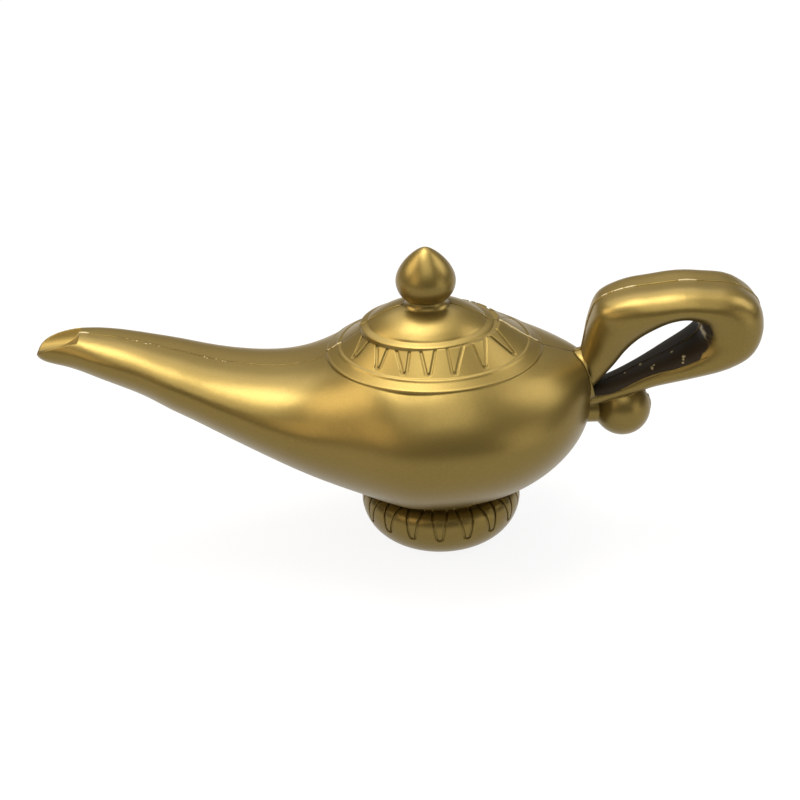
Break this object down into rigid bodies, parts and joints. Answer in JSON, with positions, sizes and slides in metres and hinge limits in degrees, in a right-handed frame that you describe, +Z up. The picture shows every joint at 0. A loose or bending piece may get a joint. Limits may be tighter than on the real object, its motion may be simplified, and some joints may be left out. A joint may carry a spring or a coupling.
{
  "type": "genie oil lamp",
  "caption": "Gold-painted moulded genie oil lamp: oval belly, long closed spout, domed lid with petals, acorn knob, strap handle and bun foot",
  "frame": {"origin": "centre of the foot's flat underside", "axes": "+Z up, -X towards the spout, +X towards the handle, -Y the front side in the picture"},
  "size_m": [0.2353, 0.0905, 0.1034],
  "materials": {
    "gold_paint": "satin metallic gold paint"
  },
  "bodies": {
    "root": {"front_shell": "gold_paint", "rear_shell": "gold_paint", "handle_front": "gold_paint", "handle_rear": "gold_paint", "knob": "gold_paint", "foot": "gold_paint"}
  },
  "joints": []
}
